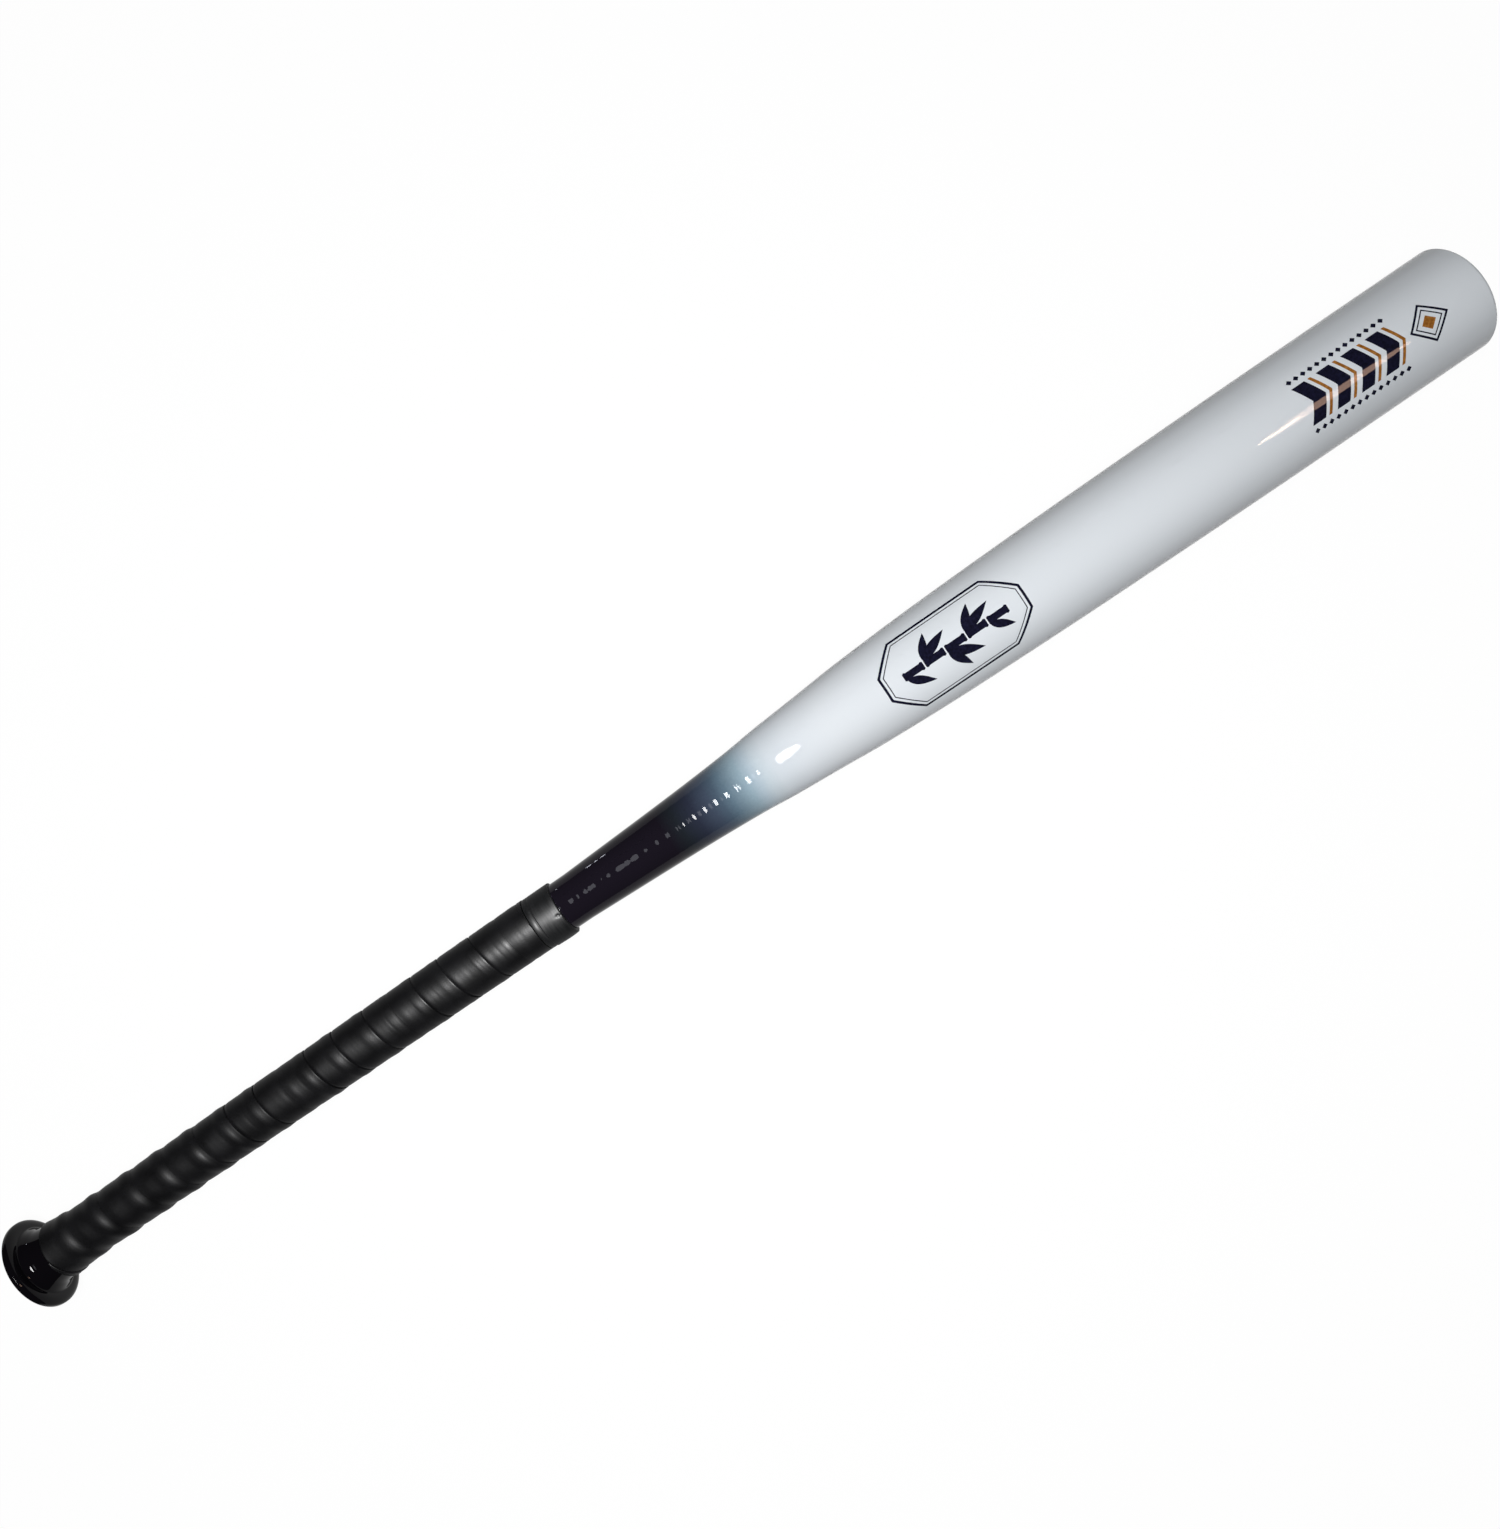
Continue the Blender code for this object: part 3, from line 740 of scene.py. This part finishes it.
def printedOrnament():
    o = ornament
    navy = inkMaterial("dark navy screen ink", "1d1d34", "131322")
    # The chevron lines and the badge's heart are printed; their bronze colour is a painted warm reflection
    bronzePaintedReflection = inkMaterial("bronze print with painted warm reflection", "b67a38", "8d5722")
    (cx, cy), (w, h) = o["frameCentre"], o["frameSize"]

    def frameLoop(gap):
        return octagon((cx, cy), (w - 2 * gap, h - 2 * gap), o["frameCorner"] - gap * o["cornerLoss"])

    for name, (edgeFrom, edgeTo) in zip(("frameOuterLine", "frameInnerLine"), o["frameLines"]):
        printedPatch(name, ringBetween(frameLoop(edgeFrom), frameLoop(edgeTo)), navy)

    stalk = []
    half = o["stalkHalfWidth"]
    firstJoint, spacing, count, knuckle = o["joints"]
    for i in range(count):
        start = cx + firstJoint + i * spacing
        upper = [(start + along, cy - (half + knuckle * out)) for along, out in o["jointShape"]]
        stalk.append(upper + [(x, 2 * cy - y) for x, y in upper[::-1]])
    printedPatch("bambooStalk", stalk, navy)
    leaves = [leaf(cx + x, cy + side * half, length, width, side * turn)
              for x, side, length, width, turn in o["leaves"]]
    printedPatch("bambooLeaves", leaves, navy)

    half, lean, middle = o["chevronHalfHeight"], o["chevronLean"], o["chevronCentre"]

    def chevron(x, stroke):
        return [(x, middle - half), (x + stroke, middle - half), (x + stroke + lean, middle),
                (x + stroke, middle + half), (x, middle + half), (x + lean, middle)]

    starts = [o["chevronStart"] + i * o["chevronPitch"] for i in range(o["chevronCount"])]
    printedPatch("chevrons", [chevron(x, o["chevronStroke"]) for x in starts], navy)
    after, stroke = o["chevronLine"]
    printedPatch("chevronLines", [chevron(x + after, stroke) for x in starts], bronzePaintedReflection)
    lozenges = []
    rowStart, rowEnd = starts[0], starts[-1] + o["chevronStroke"] + lean
    size = o["lozengeSize"] / 2
    for side in (-1, 1):
        y = middle + side * (half + o["lozengeGap"])
        for x in np.arange(rowStart + size, rowEnd, o["lozengePitch"]):
            lozenges.append([(x - size, y), (x, y - size), (x + size, y), (x, y + size)])
    printedPatch("chevronLozenges", lozenges, navy)

    bx, by = o["badgeCentre"]
    bw, bh = o["badgeSize"][0] / 2, o["badgeSize"][1] / 2

    def diamond(share):
        return [(bx - bw * share, by), (bx, by - bh * share), (bx + bw * share, by), (bx, by + bh * share)]

    lines = [part for outer, inner in o["badgeLines"]
             for part in ringBetween(diamond(outer), diamond(inner))]
    printedPatch("badgeLine", lines, navy)
    printedPatch("badgeCentre", [diamond(o["badgeHeart"])], bronzePaintedReflection)


printedOrnament()
print("ornament printed")


# Bamboo boards inside the coats: the CAD solids with their own finish

bamboo = {
    "fibre": 0.9,            # mm across a bundle of fibres; real ones are 0.3 mm
    "stripWidth": 21.0,      # mm, the split strips that a board is pressed from
    "jointSpacing": 270.0,   # mm between the nodes of the cane
    "jointLine": 2.2,        # how far its dark line fades out
    "stripShift": 7.3,       # what one strip's nodes are shifted against the next, and one layer's
    "layerShift": 0.09,
    "tones": (("c79a5c", "e2bf86"), ("bd8f52", "d9b47a"), ("cfa365", "e8c78f"),
              ("c3955a", "dcb880")),
}


def bambooMaterial(layer):
    # Pressed moso bamboo: straw strips, dark fibre bundles along the grain, a darker line at each joint
    dark, light = bamboo["tones"][layer]
    material, tree, shader, place = newMaterial(f"pressed moso bamboo {layer + 1}", Roughness=0.5,
                                                IOR=1.5)
    grain = addNode(tree, "ShaderNodeMapping",
                    {"Scale": (0.012, 1.0, 1.0), "Location": (layer * 0.37, 0, 0)}, {"Vector": place})
    fibre = addNode(tree, "ShaderNodeTexNoise", {"Scale": 1 / (bamboo["fibre"] * mm), "Detail": 4.0},
                    {"Vector": grain.outputs[0]})
    tone = addNode(tree, "ShaderNodeValToRGB", {}, {"Fac": fibre.outputs["Fac"]})
    setStops(tone, ((0.38, dark), (0.62, light)))
    parts = addNode(tree, "ShaderNodeSeparateXYZ", links={"Vector": place})
    strip = addNode(tree, "ShaderNodeMath", {1: bamboo["stripWidth"] * mm}, {0: parts.outputs["Y"]},
                    operation="SNAP")
    joint = addNode(tree, "ShaderNodeMath",
                    {1: bamboo["stripShift"], 2: layer * bamboo["layerShift"]}, {0: strip.outputs[0]},
                    operation="MULTIPLY_ADD")
    along = addNode(tree, "ShaderNodeMath", {}, {0: parts.outputs["X"], 1: joint.outputs[0]},
                    operation="ADD")
    near = addNode(tree, "ShaderNodeMath", {1: bamboo["jointSpacing"] * mm / 2}, {0: along.outputs[0]},
                   operation="PINGPONG")
    line = addNode(tree, "ShaderNodeMapRange", {"From Min": 0.0, "From Max": bamboo["jointLine"] * mm},
                   {"Value": near.outputs[0]})
    mixed = addNode(tree, "ShaderNodeMix", {"A": linearColour("7d5527")},
                    {"Factor": line.outputs["Result"], "B": tone.outputs["Color"]}, data_type="RGBA")
    tree.links.new(mixed.outputs["Result"], shader.inputs["Base Color"])
    bump = addNode(tree, "ShaderNodeBump", {"Strength": 0.5, "Distance": 0.05 * mm},
                   {"Height": fibre.outputs["Fac"]})
    tree.links.new(bump.outputs["Normal"], shader.inputs["Normal"])
    return material


boardMaterials = [bambooMaterial(layer) for layer in range(len(bamboo["tones"]))]
for nodeName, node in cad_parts.items():
    if "_board_" in nodeName:
        layer = int(nodeName.split("_board_")[1][0]) - 1
        node.data.materials.clear()
        node.data.materials.append(boardMaterials[layer])
print("bamboo boards finished")


# Studio: pale floor under the bat, soft dome, one soft lamp over the throat, panels that give highlights

studio = {
    "floorSize": 24.0,
    "floorGlow": 0.96,
    "floorColour": "404040",
    "horizon": 0.06,
    "overhead": 0.05,
    "overheadFrom": 0.55,    # sine of the height at which the dome is darkest
    "keyPlace": (0.380, 0.0, 0.83),
    "keySize": 0.30,
    "keyPower": 6.6,
    # Panels that only show as highlights: place, where each looks, size, watts, colour
    "panels": (
        ("sheenPanel", (0.360, 0.0, 0.82), (0.360, 0.0, 0.0), (0.045, 0.32), 3.4, "ffffff"),
        ("backPanelNear", (0.186, 0.0, 0.83), (0.186, 0.0, 0.0), (0.038, 0.30), 0.22, "f2f4ff"),
        ("backPanelFar", (0.131, 0.0, 0.83), (0.131, 0.0, 0.0), (0.022, 0.30), 0.13, "f2f4ff"),
        ("sidePanel", (0.100, 1.2, 0.06), (0.346, 0.0, 0.0), (0.024, 0.06), 0.22, "eef2ff"),
        ("warmPanel", (1.254, -0.324, 0.844), (0.773, 0.0, 0.0), (0.20, 0.20), 2.6, "ffd1b6"),
        ("warmLamp", (1.186, -0.332, 0.862), (0.742, 0.0, 0.0), (0.06, 0.09), 0.8, "ffe6c8"),
        ("gripPanel", (0.360, 0.0, 0.82), (0.360, 0.0, 0.0), (0.045, 0.17), 127.0, "ffffff"),
    ),
    # What the strong grip panel reaches; it is flagged off the lacquer
    "gripPieces": ("gripWrap", "finishingBand"),
    "cameraPlace": (0.43826, 0.00595, 0.620),
    "cameraTurn": -34.32,
    "lens": 29.035,
}


def studioFloor():
    # The floor touches the rim of the knob and the start of the full barrel
    knobX, knobZ = batShape["knobRimHeight"], -batShape["knobDiameter"] / 2
    barrelX = batShape["length"] - batShape["fullBarrelLength"]
    barrelZ = -batShape["barrelDiameter"] / 2
    tilt = (barrelZ - knobZ) / (barrelX - knobX)
    half = studio["floorSize"] / 2
    corners = [(x, y, knobZ * mm + (x - knobX * mm) * tilt) for x, y in
               ((-half, -half), (half, -half), (half, half), (-half, half))]
    mesh = bpy.data.meshes.new("studioFloor")
    mesh.from_pydata(corners, [], [(0, 1, 2, 3)])
    floor = bpy.data.objects.new("studioFloor", mesh)
    bpy.context.scene.collection.objects.link(floor)

    material = bpy.data.materials.new("pale studio floor")
    material.use_nodes = True
    material.cycles.emission_sampling = "NONE"
    tree = material.node_tree
    tree.nodes.clear()
    path = addNode(tree, "ShaderNodeLightPath")
    seen = addNode(tree, "ShaderNodeMath", {},
                   {0: path.outputs["Is Camera Ray"], 1: path.outputs["Is Glossy Ray"]}, operation="ADD")
    seenAll = addNode(tree, "ShaderNodeMath", {},
                      {0: seen.outputs[0], 1: path.outputs["Is Transmission Ray"]}, operation="ADD")
    strength = addNode(tree, "ShaderNodeMath", {1: studio["floorGlow"]}, {0: seenAll.outputs[0]},
                       operation="MULTIPLY")
    glow = addNode(tree, "ShaderNodeEmission", {}, {"Strength": strength.outputs[0]})
    matte = addNode(tree, "ShaderNodeBsdfDiffuse", {"Color": linearColour(studio["floorColour"])})
    both = addNode(tree, "ShaderNodeAddShader", {}, {0: matte.outputs[0], 1: glow.outputs[0]})
    addNode(tree, "ShaderNodeOutputMaterial", {}, {"Surface": both.outputs[0]})
    mesh.materials.append(material)


def studioDome():
    world = bpy.data.worlds.new("soft studio dome")
    bpy.context.scene.world = world
    world.use_nodes = True
    tree = world.node_tree
    tree.nodes.clear()
    direction = addNode(tree, "ShaderNodeTexCoord")
    height = addNode(tree, "ShaderNodeSeparateXYZ", {}, {"Vector": direction.outputs["Generated"]})
    level = addNode(tree, "ShaderNodeMapRange",
                    {"From Min": 0.0, "From Max": studio["overheadFrom"],
                     "To Min": studio["horizon"], "To Max": studio["overhead"]},
                    {"Value": height.outputs["Z"]}, interpolation_type="SMOOTHSTEP")
    sky = addNode(tree, "ShaderNodeBackground", {"Color": (1, 1, 1, 1)},
                  {"Strength": level.outputs["Result"]})
    addNode(tree, "ShaderNodeOutputWorld", {}, {"Surface": sky.outputs[0]})


def areaLamp(name, place, aim, size, power):
    lamp = bpy.data.lights.new(name, "AREA")
    lamp.shape = "ELLIPSE"
    lamp.size, lamp.size_y = size
    lamp.energy = power
    holder = bpy.data.objects.new(name, lamp)
    holder.location = place
    holder.rotation_euler = (Vector(aim) - Vector(place)).to_track_quat("-Z", "Y").to_euler()
    bpy.context.scene.collection.objects.link(holder)
    return holder


def studioLamps():
    under = (studio["keyPlace"][0], studio["keyPlace"][1], 0.0)
    soft = areaLamp("softLamp", studio["keyPlace"], under, (studio["keySize"],) * 2, studio["keyPower"])
    soft.visible_glossy = False
    for name, place, aim, size, power, colour in studio["panels"]:
        panel = areaLamp(name, place, aim, size, power)
        panel.data.color = linearColour(colour)[:3]
        panel.visible_diffuse = False
    reached = bpy.data.collections.new("gripPanelReaches")
    for name in studio["gripPieces"]:
        reached.objects.link(bpy.data.objects[name])
    bpy.data.objects["gripPanel"].light_linking.receiver_collection = reached


def studioCamera():
    camera = bpy.data.cameras.new("camera")
    camera.lens = studio["lens"]
    camera.sensor_width = 36
    camera.clip_start = 0.01
    holder = bpy.data.objects.new("camera", camera)
    holder.location = studio["cameraPlace"]
    holder.rotation_euler = (0, 0, math.radians(studio["cameraTurn"]))
    bpy.context.scene.collection.objects.link(holder)
    bpy.context.scene.camera = holder


studioFloor()
studioDome()
studioLamps()
studioCamera()
bpy.context.scene.view_settings.view_transform = "Standard"
print("studio lit")
